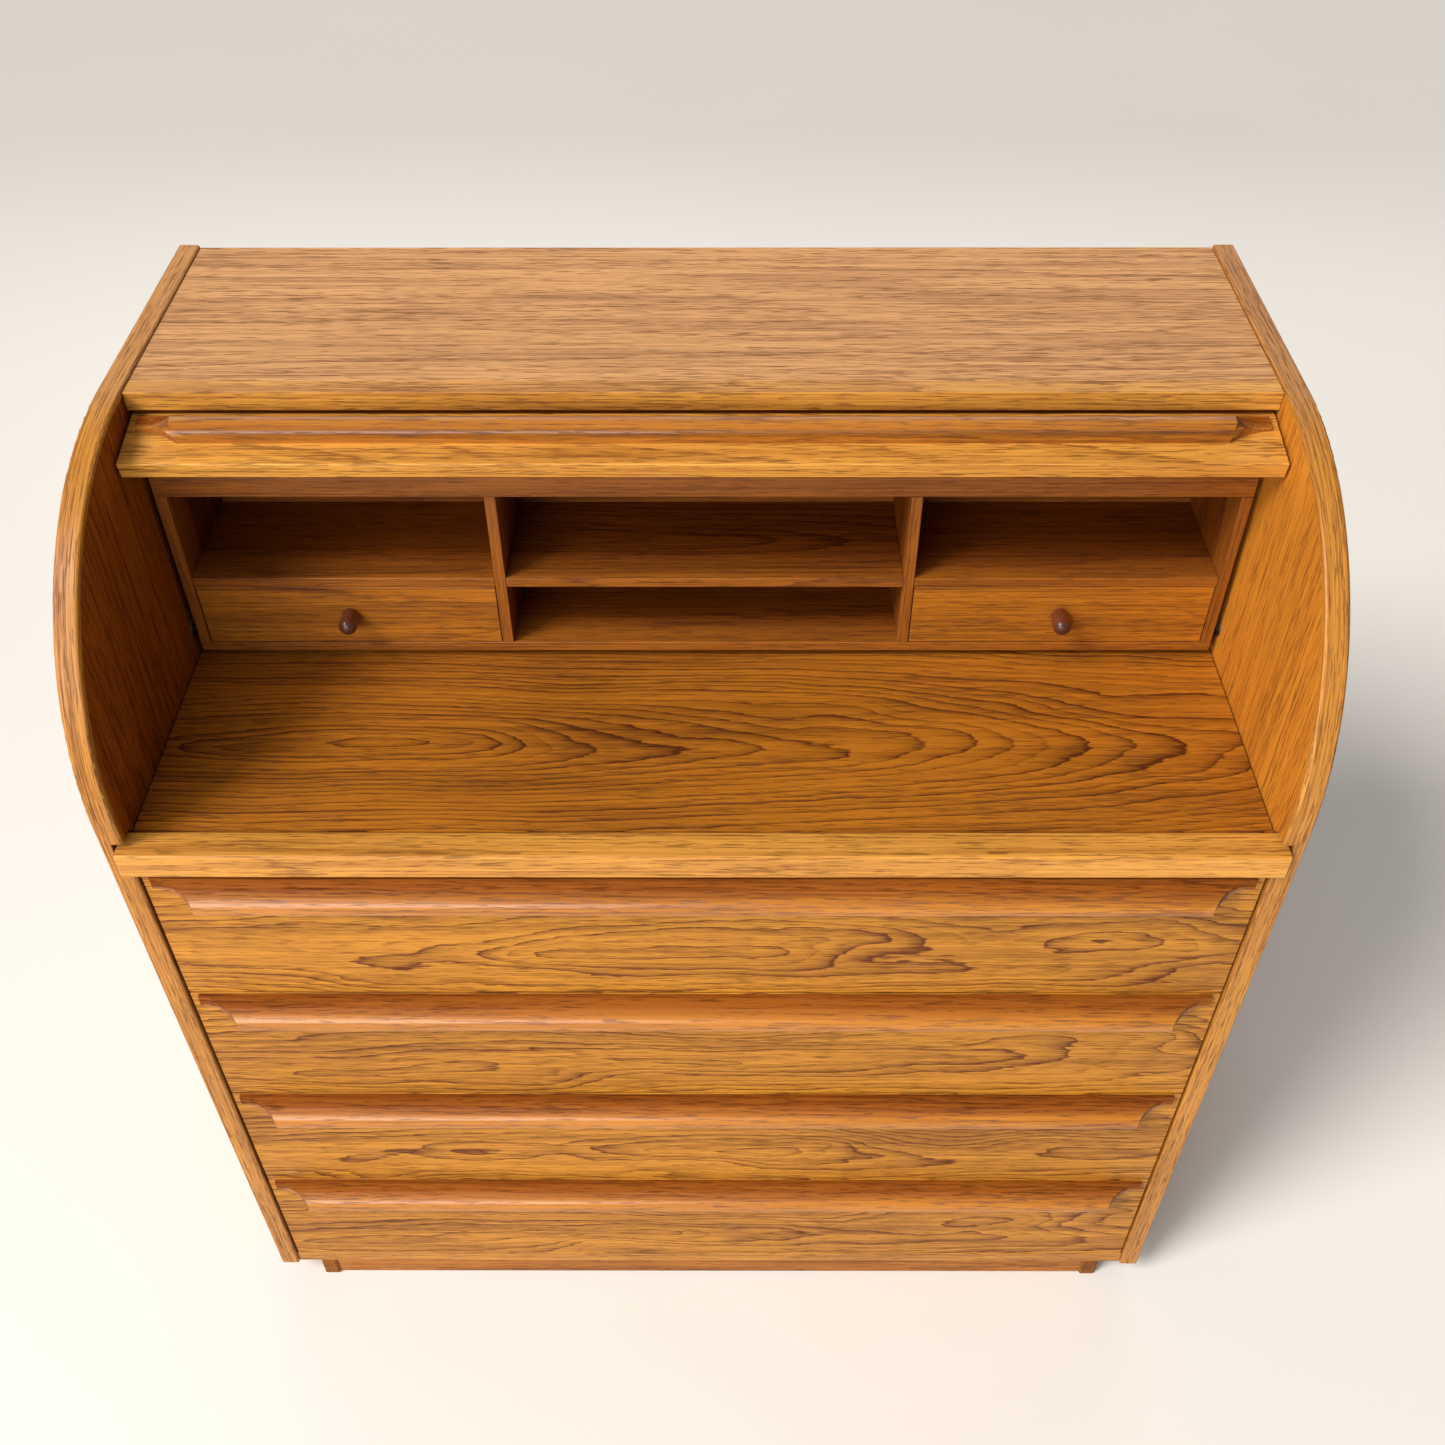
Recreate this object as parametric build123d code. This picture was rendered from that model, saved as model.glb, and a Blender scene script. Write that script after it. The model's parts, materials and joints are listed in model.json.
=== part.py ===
"""Roll top desk: a rigid quarter-round lid over a row of pigeonholes, a pull-out writing surface and
four full-width drawers.

Units are millimetres.  The origin is the centre of the footprint on the floor, +Z is up, the front
faces -Y and +X is to the right of somebody facing the desk.
"""
import os
from math import cos, radians, sin

from build123d import *

# ---- driving dimensions ---------------------------------------------------------------------------
WIDTH = 1000            # over both sides
HEIGHT = 1046           # floor to the top edge of the sides
SIDE_DEPTH = 514        # front to back of a side
PULL_PROUD = 20         # how far the drawer pulls stand in front of the sides
SIDE_THICK = 20
CORNER_RADIUS = 250     # outer curve of the sides, struck about the lid's pivot
BASE_HEIGHT = 34        # floor to the underside of the case
EDGE_BAND = 6           # solid lipping on the curved and front edges of the sides
EDGE_ROUND = 2.5
SOFT_EDGE = 0.8         # eased arris on ordinary boards

TOP_THICK = 17
TOP_DROP = 2.5          # the top lies this much below the side's edge
TOP_FRONT = 256.5       # front plane of the sides to the top's front edge
TOP_LIPPING = 19

BOTTOM_THICK = 18
FRONT_RECESS = 3        # drawer fronts and bottom sit this far behind the sides
BACK_THICK = 6
REBATE = 8
STRETCHER_Y = (24, 84)  # behind the front plane of the sides
STRETCHER_THICK = 11
STRETCHER_GAP = 3       # below the writing surface's panel
BOARD_GAP = 0.3         # between a board's end and the side

DOWEL_RADIUS = 4
DOWEL_HALF = 12
DOWEL_BOTTOM_Y = (-200, -60, 80, 220)
DOWEL_TOP_Y = (60, 140, 220)
HOLE_CLEAR = 0.03       # radial, around dowels, pins and screws

BACK_SCREW_RADIUS = 1.5
BACK_SCREW_SINK = 0.5   # head below the back panel's face
BACK_SCREW_BITE = 14    # length in the board ahead of the back panel
BACK_SCREW_X = (-330, -110, 110, 330)
BACK_SCREW_Z = (90, 300, 510, 720, 930)

FOOT_X = (438, 456)     # inner and outer face of a foot board
FOOT_RECESS = 3.5
FOOT_BACK_RECESS = 12
BASE_RAIL_THICK = 18
BASE_RAIL_RECESS = 6
BASE_RAIL_LIFT = 1.5

DRAWER_COUNT = 4
DRAWER_PITCH = 170
DRAWER_SEAM = 2
DRAWER_SIDE_GAP = 2
FRONT_THICK = 16
BOX_GAP = 6             # case side to drawer side
BOX_SIDE = 12
BOX_LENGTH = 430
BOX_LIFT = 12
BOX_HEIGHT = 120
BOX_BACK = 10
PLY = 4
PLY_LIFT = 8
PLY_TONGUE = 4
RUNNER_HEIGHT = 16
RUNNER_REACH = 10.5
RUNNER_LIFT = 58
RUNNER_CLEAR = 0.5
RUNNER_START = 12       # behind the drawer front
GROOVE_START = 10

PULL_HEIGHT = 27
PULL_DEPTH = 23
PULL_EAR = 4.5          # thickness left at the carved ends
PULL_HALF = 469.5
PULL_CARVE = 36.5       # length of each carved end
PULL_SCOOP = 12         # radius of the hollow above the nose
PULL_NOSE = 13
PULL_TURN = 75
GROOVE_IN = 5.5         # depths of the finger groove's two lips
GROOVE_OUT = 15.5
GROOVE_DEEP = 6.5
COVE_BELLY = (24.5, 9.8)    # inwards from the end, and outwards from the glued face
EAR_HEIGHT = 13
SWEEP_BELLY = (19, 17)  # inwards from the end, and down from the top
PULL_DROP = 0.5

DESK_TOP = 767          # height of the writing surface
DESK_THICK = 20
DESK_HALF = 478.5
DESK_DEPTH = 390
DESK_LIPPING = 27
LIPPING_HALF = 488.5
LIPPING_FRONT = 9       # stands this far in front of the sides
LIPPING_BACK = 20
NOTCH_DEPTH = 22
NOTCH_WIDTH = 10
NOTCH_Z = (739.5, 772)
DESK_RUNNER_REACH = 7.5
DESK_RUNNER_HALF = 4    # half the height of the strips that the surface slides on
DESK_RUNNER_START = 4
DESK_GROOVE_GAP = 0.8   # sideways
DESK_GROOVE_CLEAR = 0.5     # above and below

ORG_FRONT = 241         # front plane of the sides to the front of the pigeonholes
ORG_DEPTH = 118
ORG_HALF = 473.5
ORG_BOARD = 10
ORG_TOP_THICK = 20
ORG_Z = (775, 970)
ORG_DIVIDER = 184.5     # centre of each divider
ORG_SHELF = 851         # underside of the shelves
ORG_BACK = 4
BEARER_THICK = 18
BEARER_TOP = 840
ORG_SCREW_RADIUS = 2
ORG_SCREW_HEIGHT = 812
ORG_SCREW_HEAD = 2
ORG_SCREW_BITE = 16
ORG_SCREW_X = (-400, -100, 100, 400)

KNOB_LENGTH = 24
KNOB_RADIUS = 8.5
KNOB_TENON = 4
KNOB_TENON_LENGTH = 8
KNOB_NECK_STEP = 0.6
SMALL_GAP = 0.75
SMALL_SIDE = 6
SMALL_FRONT = 10
SMALL_BOX_HEIGHT = 54
SMALL_RECESS = 0.5      # drawer front behind the shelf's front
SMALL_BACK_GAP = 8
SMALL_PLY = 3
SMALL_PLY_LIFT = 4

LID_RADIUS = 226        # outer face of the lid's shell
LID_THICK = 10
LID_HALF = 477.5
LID_START_ANGLE = -25   # degrees behind the vertical, before the rail's plane trims it
LID_END_ANGLE = 89
RAIL_WIDTH = 60
RAIL_THICK = 15.5
RAIL_TILT = 11.2
RAIL_HALF = 478
RAIL_REAR = (9.5, 226.5)    # rear outer corner of the rail from the pivot
RAIL_PULL_SETBACK = 9
RAIL_ROUND = 1.5
ARM_X = (475.2, 478.2)
ARM_ANGLE = 30
ARM_SPREAD = 18
ARM_FLANGE = 18
ARM_STEEL = 3
ARM_FOOT = 16           # width of the arm's curved foot along the shell
ARM_HALF_WIDTH = 7
ARM_SHORT = 8           # the straight bar ends this far inside the shell
ARM_EYE_RADIUS = 8.5
ARM_SHELL_GAP = 0.05
ARM_SCREW_X = 465
ARM_SCREW_SPREAD = 11   # degrees each side of the arm
ARM_SCREW_RADIUS = 2
ARM_SCREW_HEAD = (3.6, 1.9)     # radius and height
ARM_SCREW_COVER = 3     # shell left over the screw's tip
HEAD_SEAT = 0.1         # the flat head stays this far off the curved flange
PIVOT_RADIUS = 4
PIVOT_CLEAR = 0.08
PIVOT_HEAD_RADIUS = 6.5
PIVOT_HEAD_GAP = 0.5    # between the pin's head and the pigeonholes
ARM_SIDE_GAP = 0.2      # between the arm and the pin's head
WASHER_RADIUS = 8
WASHER_GAP = 0.1
STOP_RADIUS = 5
STOP_ARM_RADIUS = 120   # along the arm from its pivot
STOP_GAP = 0.5

# ---- places worked out from them --------------------------------------------------------------------
FRONT_Y = PULL_PROUD - (SIDE_DEPTH + PULL_PROUD) / 2
BACK_Y = FRONT_Y + SIDE_DEPTH
HALF = WIDTH / 2
INNER_X = HALF - SIDE_THICK
PIVOT_Y = FRONT_Y + CORNER_RADIUS
PIVOT_Z = HEIGHT - CORNER_RADIUS
TOP_Z = HEIGHT - TOP_DROP
BACK_IN = BACK_Y - BACK_THICK
CASE_FLOOR = BASE_HEIGHT + BOTTOM_THICK
FACE_Y = FRONT_Y + FRONT_RECESS
ORG_Y = FRONT_Y + ORG_FRONT
ORG_BACK_Y = ORG_Y + ORG_DEPTH
ORG_FLOOR = ORG_Z[0] + ORG_BOARD
BOTTOM_MIDDLE = BASE_HEIGHT + BOTTOM_THICK / 2
BACK_TOP = TOP_Z - EDGE_BAND
TOP_EDGE_MIDDLE = (TOP_Z - TOP_THICK + BACK_TOP) / 2
BAND_MIDDLE = HALF - SIDE_THICK / 2     # halfway through a side

parts = {}


# ---- shared shapes ----------------------------------------------------------------------------------
def board(x, y, z, edge=0.0):
    """A board between two limits on each axis, with its arrises eased by edge."""
    middle = [(low + high) / 2 for low, high in (x, y, z)]
    solid = Pos(*middle) * Box(x[1] - x[0], y[1] - y[0], z[1] - z[0])
    return fillet(solid.edges(), edge) if edge else solid


def rod(start, end, radius):
    """A round rod between two points."""
    axis = Vector(*end) - Vector(*start)
    return extrude(Plane(origin=start, z_dir=axis) * Circle(radius), axis.length)


def mirrored(solid):
    """The same piece on the other side of the desk."""
    return mirror(solid, about=Plane.YZ)


def both_sides(solid):
    """A left and right pair as two separate solids."""
    return Compound(children=[solid, mirrored(solid)])


def add_pair(name, solid):
    """A piece drawn on the right, and its mirror image on the left."""
    parts[f"{name}_right"] = solid
    parts[f"{name}_left"] = mirrored(solid)


def group(solids):
    """Separate solids that share a node."""
    return Compound(children=list(solids))


def around_pivot(radius, degrees_back):
    """Y and Z of a point about the lid's pivot, measured back from straight up."""
    angle = radians(degrees_back)
    return PIVOT_Y + radius * sin(angle), PIVOT_Z + radius * cos(angle)


def ring_sector(inner, outer, start, end, x):
    """A slab of a ring about the lid's pivot, between two angles behind the vertical."""
    middle = (start + end) / 2
    with BuildSketch(Plane.YZ) as sketch:
        with BuildLine():
            far = ThreePointArc(*(around_pivot(outer, angle) for angle in (start, middle, end)))
            near = ThreePointArc(*(around_pivot(inner, angle) for angle in (start, middle, end)))
            Line(far @ 0, near @ 0)
            Line(far @ 1, near @ 1)
        make_face()
    return Pos(x[0], 0, 0) * extrude(sketch.sketch, x[1] - x[0])


# ---- sides ------------------------------------------------------------------------------------------
def side_face(inset):
    """The outline of a side, drawn in from its top, curved and front edges."""
    front = FRONT_Y + inset
    top = HEIGHT - inset
    with BuildSketch(Plane.YZ) as sketch:
        with BuildLine():
            Polyline(
                (PIVOT_Y, top), (BACK_Y, top), (BACK_Y, BASE_HEIGHT), (front, BASE_HEIGHT), (front, PIVOT_Z)
            )
            ThreePointArc((front, PIVOT_Z), around_pivot(CORNER_RADIUS - inset, -45), (PIVOT_Y, top))
        make_face()
    return sketch.sketch


def on_outer_edge(edge):
    """True for the arrises that follow the side's front, curve and top."""
    y, z = (edge @ 0.5).Y, (edge @ 0.5).Z
    flat = abs((edge @ 0).X - (edge @ 1).X) < 0.1
    if z <= PIVOT_Z:
        return flat and abs(y - FRONT_Y) < 0.1
    if y >= PIVOT_Y:
        return flat and abs(z - HEIGHT) < 0.1
    return flat and abs(((y - PIVOT_Y) ** 2 + (z - PIVOT_Z) ** 2) ** 0.5 - CORNER_RADIUS) < 0.1


def dowels(clearance=0.0):
    """Dowels between the right side and the boards that it holds, or the holes for them."""
    places = [(y, BOTTOM_MIDDLE) for y in DOWEL_BOTTOM_Y] + [(y, TOP_Z - TOP_THICK / 2) for y in DOWEL_TOP_Y]
    ends = (INNER_X - DOWEL_HALF - clearance, INNER_X + DOWEL_HALF + clearance)
    return [rod((ends[0], y, z), (ends[1], y, z), DOWEL_RADIUS + clearance) for y, z in places]


def pivot_pin(clearance=0.0):
    """The thin-headed pin that a lid arm turns on, driven into the right side."""
    seat = ARM_X[0] - ARM_SIDE_GAP
    tip = BAND_MIDDLE + clearance
    shank = rod((seat, PIVOT_Y, PIVOT_Z), (tip, PIVOT_Y, PIVOT_Z), PIVOT_RADIUS + clearance)
    head = rod((ORG_HALF + PIVOT_HEAD_GAP, PIVOT_Y, PIVOT_Z), (seat, PIVOT_Y, PIVOT_Z), PIVOT_HEAD_RADIUS)
    return shank if clearance else shank + head


def lid_stop(clearance=0.0):
    """The dowel in the right side that the open lid's arm leans back on."""
    along_y, along_z = around_pivot(STOP_ARM_RADIUS, ARM_ANGLE)
    aside = ARM_HALF_WIDTH + STOP_GAP + STOP_RADIUS
    y = along_y + aside * cos(radians(ARM_ANGLE))
    z = along_z - aside * sin(radians(ARM_ANGLE))
    tip = BAND_MIDDLE + clearance
    return rod((ORG_HALF + PIVOT_HEAD_GAP, y, z), (tip, y, z), STOP_RADIUS + clearance)


def notch():
    """The cut in a side's front edge that the writing surface's lipping closes into."""
    return board((INNER_X, INNER_X + NOTCH_WIDTH), (FRONT_Y - 1, FRONT_Y + NOTCH_DEPTH), NOTCH_Z)


def make_sides():
    holes = dowels(HOLE_CLEAR) + [pivot_pin(HOLE_CLEAR), lid_stop(HOLE_CLEAR)] + back_screws(HOLE_CLEAR)
    rebate = board((INNER_X, INNER_X + REBATE), (BACK_IN, BACK_Y), (BASE_HEIGHT, BACK_TOP))
    core = Pos(INNER_X, 0, 0) * extrude(side_face(EDGE_BAND), SIDE_THICK)
    add_pair("side_panel", core - rebate - notch() - holes)
    band = Pos(INNER_X, 0, 0) * extrude(side_face(0) - side_face(EDGE_BAND), SIDE_THICK)
    band = fillet(band.edges().filter_by(on_outer_edge), EDGE_ROUND)
    add_pair("side_lipping", band - notch())


# ---- case -------------------------------------------------------------------------------------------
def back_screws(clearance=0.0):
    """Screws through the back panel into the boards ahead of it, or the holes for them."""
    edge_x = INNER_X + REBATE / 2
    places = [(side * edge_x, z) for side in (-1, 1) for z in BACK_SCREW_Z]
    places += [(x, z) for x in BACK_SCREW_X for z in (BOTTOM_MIDDLE, TOP_EDGE_MIDDLE)]
    tip = BACK_IN - BACK_SCREW_BITE - clearance
    face = BACK_Y if clearance else BACK_Y - BACK_SCREW_SINK
    return [rod((x, tip, z), (x, face, z), BACK_SCREW_RADIUS + clearance) for x, z in places]


def make_case():
    right = dowels(HOLE_CLEAR)
    holes = right + [mirrored(hole) for hole in right] + back_screws(HOLE_CLEAR)
    span = (-INNER_X + BOARD_GAP, INNER_X - BOARD_GAP)
    top_z = (TOP_Z - TOP_THICK, TOP_Z)
    front = FRONT_Y + TOP_FRONT
    parts["top_lipping"] = board(span, (front, front + TOP_LIPPING), top_z, SOFT_EDGE)
    top = board(span, (front + TOP_LIPPING, BACK_Y), top_z, SOFT_EDGE)
    top -= board((-HALF, HALF), (BACK_IN, BACK_Y + 1), (top_z[0] - 1, BACK_TOP))
    parts["top_panel"] = top - holes
    bottom = board(span, (FACE_Y, BACK_IN), (BASE_HEIGHT, CASE_FLOOR), SOFT_EDGE)
    parts["bottom_panel"] = bottom - holes
    parts["case_dowels"] = group(dowels() + [mirrored(dowel) for dowel in dowels()])
    rim = INNER_X + REBATE
    back = board((-rim, rim), (BACK_IN, BACK_Y), (BASE_HEIGHT, BACK_TOP))
    parts["back_panel"] = back - back_screws(HOLE_CLEAR)
    parts["back_panel_screws"] = group(back_screws())


def make_rails():
    """The boards behind the drawers and the pigeonholes that tie the sides together."""
    stretcher_top = DESK_TOP - DESK_THICK - STRETCHER_GAP
    stretcher_y = [FRONT_Y + reach for reach in STRETCHER_Y]
    span = (-INNER_X + BOARD_GAP, INNER_X - BOARD_GAP)
    parts["front_stretcher"] = board(
        span, stretcher_y, (stretcher_top - STRETCHER_THICK, stretcher_top), SOFT_EDGE
    )
    bearer_y = ORG_BACK_Y + ORG_BACK
    bearer = board((-INNER_X, INNER_X), (bearer_y, bearer_y + BEARER_THICK), (ORG_Z[0], BEARER_TOP))
    parts["organizer_bearer"] = bearer - organizer_screws(HOLE_CLEAR)


def make_base():
    foot_y = (FRONT_Y + FOOT_RECESS, BACK_Y - FOOT_BACK_RECESS)
    parts["foot_boards"] = both_sides(board(FOOT_X, foot_y, (0, BASE_HEIGHT), EDGE_ROUND))
    rail_z = (BASE_RAIL_LIFT, BASE_HEIGHT)
    front = FRONT_Y + BASE_RAIL_RECESS
    rear = foot_y[1] - BASE_RAIL_RECESS
    span = (-FOOT_X[0], FOOT_X[0])
    rails_y = (front, rear - BASE_RAIL_THICK)
    parts["base_rails"] = group(board(span, (y, y + BASE_RAIL_THICK), rail_z, SOFT_EDGE) for y in rails_y)


# ---- pulls ------------------------------------------------------------------------------------------
def pull_section():
    """Section of the moulded pull: scooped above, a round nose, a finger groove below.

    Drawn with the face it is glued to on Z = 0, its top edge on Y = 0 and its nose towards +Z.  The
    scoop and the nose are tangent arcs that meet where the surface turns PULL_TURN degrees outwards.
    """
    foot = -PULL_HEIGHT
    turn = radians(PULL_TURN)

    def scoop(angle):
        return -PULL_SCOOP * sin(angle), PULL_EAR + PULL_SCOOP * (1 - cos(angle))

    meet = scoop(turn)
    nose_middle = (meet[0] - PULL_NOSE * sin(turn), meet[1] - PULL_NOSE * cos(turn))
    drop = (nose_middle[0] - foot) / PULL_NOSE
    lip = (foot, nose_middle[1] + PULL_NOSE * (1 - drop * drop) ** 0.5)
    crest = (nose_middle[0] + PULL_NOSE * sin(turn / 2), nose_middle[1] + PULL_NOSE * cos(turn / 2))
    groove = (GROOVE_OUT + GROOVE_IN) / 2
    with BuildSketch(Plane.YZ) as sketch:
        with BuildLine():
            Polyline((foot, GROOVE_IN), (foot, 0), (0, 0), (0, PULL_EAR))
            ThreePointArc((0, PULL_EAR), scoop(turn / 2), meet)
            ThreePointArc(meet, crest, lip)
            Line(lip, (foot, GROOVE_OUT))
            ThreePointArc((foot, GROOVE_OUT), (foot + GROOVE_DEEP, groove), (foot, GROOVE_IN))
        make_face()
    return sketch.sketch


def pull_plan():
    """Plan of the pull, its ends carved back to thin ears along a cove."""
    start = -PULL_HALF
    end = start + PULL_CARVE
    with BuildSketch(Plane.XZ) as sketch:
        with BuildLine():
            cove = ThreePointArc((start, PULL_EAR), (start + COVE_BELLY[0], COVE_BELLY[1]), (end, PULL_DEPTH))
            mirror(cove, about=Plane.YZ)
            Line((end, PULL_DEPTH), (-end, PULL_DEPTH))
            Polyline((start, PULL_EAR), (start, 0), (-start, 0), (-start, PULL_EAR))
        make_face()
    return sketch.sketch


def pull_front():
    """The pull seen from the front, its lower corners swept up into the carved ends."""
    start = -PULL_HALF
    end = start + PULL_CARVE
    with BuildSketch(Plane.XY) as sketch:
        with BuildLine():
            belly = (start + SWEEP_BELLY[0], -SWEEP_BELLY[1])
            sweep = ThreePointArc((start, -EAR_HEIGHT), belly, (end, -PULL_HEIGHT))
            mirror(sweep, about=Plane.YZ)
            Line((end, -PULL_HEIGHT), (-end, -PULL_HEIGHT))
            Polyline((start, -EAR_HEIGHT), (start, 0), (-start, 0), (-start, -EAR_HEIGHT))
        make_face()
    return sketch.sketch


def make_pull():
    length = extrude(pull_section(), PULL_HALF, both=True)
    return length & extrude(pull_plan(), PULL_HEIGHT) & extrude(pull_front(), PULL_DEPTH)


# ---- large drawers ----------------------------------------------------------------------------------
def drawer_runner(floor):
    """The strip on the right side that a drawer hangs on."""
    low = floor + BOX_LIFT + RUNNER_LIFT
    front = FACE_Y + FRONT_THICK
    y = (front + RUNNER_START, front + BOX_LENGTH)
    return board((INNER_X - RUNNER_REACH, INNER_X), y, (low, low + RUNNER_HEIGHT))


def make_drawer(index, pull):
    """Drawers are numbered from the top."""
    name = f"drawer_{index}"
    floor = CASE_FLOOR + (DRAWER_COUNT - index) * DRAWER_PITCH
    half = INNER_X - DRAWER_SIDE_GAP
    face_z = (floor + DRAWER_SEAM / 2, floor + DRAWER_PITCH - DRAWER_SEAM / 2)
    inner_y = FACE_Y + FRONT_THICK
    back_y = inner_y + BOX_LENGTH
    box_half = INNER_X - BOX_GAP
    box_inner = box_half - BOX_SIDE
    box_z = (floor + BOX_LIFT, floor + BOX_LIFT + BOX_HEIGHT)
    ply_z = (box_z[0] + PLY_LIFT, box_z[0] + PLY_LIFT + PLY)
    ply = board((-box_inner - PLY_TONGUE, box_inner + PLY_TONGUE), (inner_y - PLY_TONGUE, back_y), ply_z)
    front = board((-half, half), (FACE_Y, inner_y), face_z, SOFT_EDGE)
    parts[f"{name}_front"] = front - ply
    parts[f"{name}_pull"] = Plane((0, FACE_Y, face_z[1] - PULL_DROP), (1, 0, 0), (0, -1, 0)) * pull
    side = board((box_inner, box_half), (inner_y, back_y), box_z)
    runner = drawer_runner(floor)
    groove_z = (runner.bounding_box().min.Z - RUNNER_CLEAR, runner.bounding_box().max.Z + RUNNER_CLEAR)
    groove_x = (INNER_X - RUNNER_REACH - RUNNER_CLEAR, INNER_X)
    side -= board(groove_x, (inner_y + GROOVE_START, back_y + 1), groove_z)
    side -= ply
    back = board((-box_inner, box_inner), (back_y - BOX_BACK, back_y), (ply_z[1], box_z[1]))
    parts[f"{name}_box"] = group([side, mirrored(side), back])
    parts[f"{name}_bottom"] = ply
    return runner


def make_drawers():
    pull = make_pull()
    runners = [make_drawer(index, pull) for index in range(1, DRAWER_COUNT + 1)]
    parts["drawer_runners"] = group(runners + [mirrored(runner) for runner in runners])


# ---- writing surface --------------------------------------------------------------------------------
def make_desktop():
    lipping_y = (FRONT_Y - LIPPING_FRONT, FRONT_Y + LIPPING_BACK)
    lipping_z = (DESK_TOP - DESK_LIPPING, DESK_TOP)
    lipping = board((-LIPPING_HALF, LIPPING_HALF), lipping_y, lipping_z, EDGE_ROUND)
    parts["desktop_lipping"] = lipping
    panel_y = (lipping_y[1], lipping_y[1] + DESK_DEPTH)
    middle = DESK_TOP - DESK_THICK / 2
    reach = INNER_X - DESK_RUNNER_REACH
    deep = DESK_RUNNER_HALF + DESK_GROOVE_CLEAR
    strip = board(
        (reach, INNER_X),
        (lipping_y[1] + DESK_RUNNER_START, panel_y[1]),
        (middle - DESK_RUNNER_HALF, middle + DESK_RUNNER_HALF),
    )
    groove = board((reach - DESK_GROOVE_GAP, INNER_X), panel_y, (middle - deep, middle + deep))
    panel = board((-DESK_HALF, DESK_HALF), panel_y, (DESK_TOP - DESK_THICK, DESK_TOP))
    parts["desktop_panel"] = panel - groove - mirrored(groove)
    parts["desktop_runners"] = both_sides(strip)


# ---- pigeonholes ------------------------------------------------------------------------------------
def organizer_screws(clearance=0.0):
    """Screws through the back of the pigeonholes into their bearer, or the holes for them."""
    z = ORG_SCREW_HEIGHT
    seat = ORG_BACK_Y - ORG_SCREW_HEAD
    tip = ORG_BACK_Y + ORG_SCREW_BITE + clearance
    screws = []
    for x in ORG_SCREW_X:
        shank = rod((x, ORG_BACK_Y, z), (x, tip, z), ORG_SCREW_RADIUS + clearance)
        head = rod((x, seat, z), (x, ORG_BACK_Y, z), 2 * ORG_SCREW_RADIUS)
        screws.append(shank if clearance else shank + head)
    return screws


def make_organizer():
    y = (ORG_Y, ORG_BACK_Y)
    floor = ORG_FLOOR
    ceiling = ORG_Z[1] - ORG_TOP_THICK
    inner = ORG_HALF - ORG_BOARD
    whole = (-ORG_HALF, ORG_HALF)
    shelf_z = (ORG_SHELF, ORG_SHELF + ORG_BOARD)
    divider = (ORG_DIVIDER - ORG_BOARD / 2, ORG_DIVIDER + ORG_BOARD / 2)
    parts["organizer_top"] = board(whole, y, (ceiling, ORG_Z[1]), SOFT_EDGE)
    parts["organizer_bottom"] = board(whole, y, (ORG_Z[0], floor), SOFT_EDGE)
    add_pair("organizer_wall", board((inner, ORG_HALF), y, (floor, ceiling), SOFT_EDGE))
    parts["organizer_dividers"] = both_sides(board(divider, y, (floor, ceiling), SOFT_EDGE))
    parts["organizer_shelf_center"] = board((-divider[0], divider[0]), y, shelf_z, SOFT_EDGE)
    parts["organizer_side_shelves"] = both_sides(board((divider[1], inner), y, shelf_z, SOFT_EDGE))
    back = board(whole, (ORG_BACK_Y, ORG_BACK_Y + ORG_BACK), ORG_Z)
    parts["organizer_back"] = back - organizer_screws(HOLE_CLEAR)
    parts["organizer_screws"] = group(organizer_screws())


def knob():
    """A turned bullet-shaped knob with a tenon, standing along -Y at the origin."""
    shoulder = KNOB_LENGTH - KNOB_RADIUS
    neck = KNOB_RADIUS - KNOB_NECK_STEP
    tenon = KNOB_TENON - HOLE_CLEAR
    foot = KNOB_TENON_LENGTH - HOLE_CLEAR
    with BuildSketch(Plane.XY) as sketch:
        with BuildLine():
            Polyline((0, -KNOB_LENGTH), (0, foot), (tenon, foot), (tenon, 0), (neck, 0))
            Spline((neck, 0), (KNOB_RADIUS, -shoulder), tangents=((0.02, -1), (0, -1)))
            ThreePointArc(
                (KNOB_RADIUS, -shoulder),
                (KNOB_RADIUS * cos(radians(45)), -shoulder - KNOB_RADIUS * sin(radians(45))),
                (0, -KNOB_LENGTH),
            )
        make_face()
    return revolve(sketch.sketch, Axis.Y)


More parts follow.
